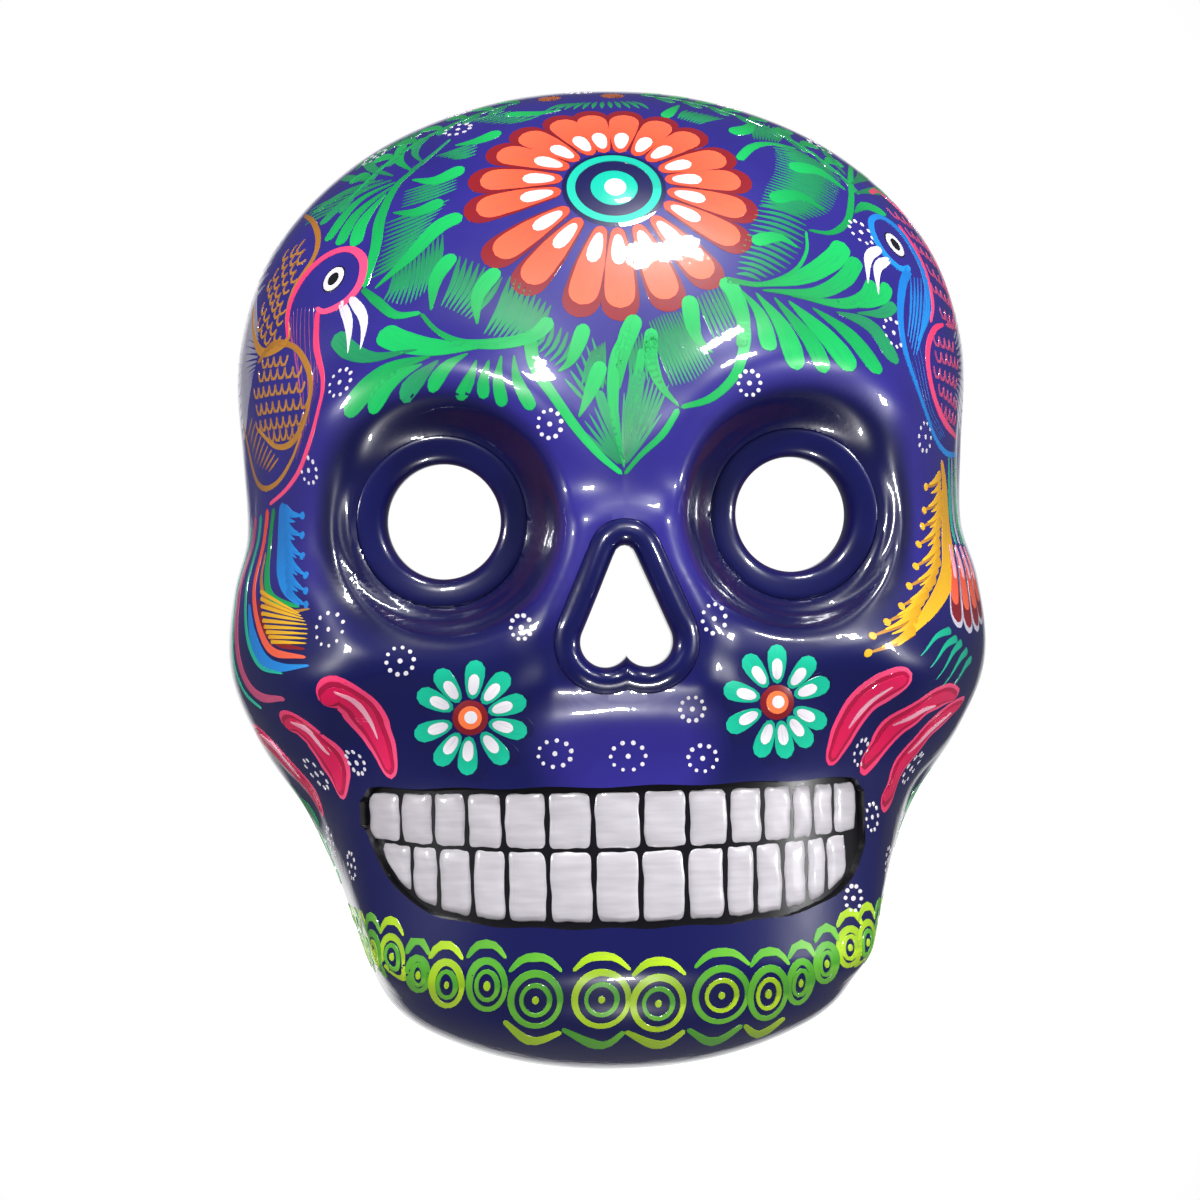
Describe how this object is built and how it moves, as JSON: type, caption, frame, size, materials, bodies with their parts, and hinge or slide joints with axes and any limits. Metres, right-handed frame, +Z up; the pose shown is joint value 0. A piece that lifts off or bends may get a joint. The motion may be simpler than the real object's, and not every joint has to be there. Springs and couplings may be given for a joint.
{
  "type": "skull mask",
  "caption": "Press-moulded clay skull mask for a wall: domed shell, open eye and nose holes, applied clay rims and teeth, painted all over in folk-art flowers and birds.",
  "frame": {"origin": "on the flat back rim, at the top, halfway through the wall", "axes": "+Y out of the back towards the wall, -Y the way the face looks, +Z up to the crown, +X to the viewer's right"},
  "size_m": [0.1938, 0.0975, 0.25],
  "materials": {
    "painted_clay": "gloss varnish over violet-blue paint",
    "dark_rim": "gloss varnish over navy paint",
    "teeth": "gloss varnish over off-white paint",
    "bare_clay": "matt, unpainted terracotta"
  },
  "bodies": {
    "root": {"face_shell": "painted_clay", "eye_rim_left": "dark_rim", "eye_rim_right": "dark_rim", "nose_rim": "dark_rim", "upper_tooth_01": "teeth", "upper_tooth_02": "teeth", "upper_tooth_03": "teeth", "upper_tooth_04": "teeth", "upper_tooth_05": "teeth", "upper_tooth_06": "teeth", "upper_tooth_07": "teeth", "upper_tooth_08": "teeth", "upper_tooth_09": "teeth", "upper_tooth_10": "teeth", "upper_tooth_11": "teeth", "upper_tooth_12": "teeth", "upper_tooth_13": "teeth", "upper_tooth_14": "teeth", "lower_tooth_01": "teeth", "lower_tooth_02": "teeth", "lower_tooth_03": "teeth", "lower_tooth_04": "teeth", "lower_tooth_05": "teeth", "lower_tooth_06": "teeth", "lower_tooth_07": "teeth", "lower_tooth_08": "teeth", "lower_tooth_09": "teeth", "lower_tooth_10": "teeth", "lower_tooth_11": "teeth", "lower_tooth_12": "teeth", "lower_tooth_13": "teeth", "lower_tooth_14": "teeth"}
  },
  "joints": []
}
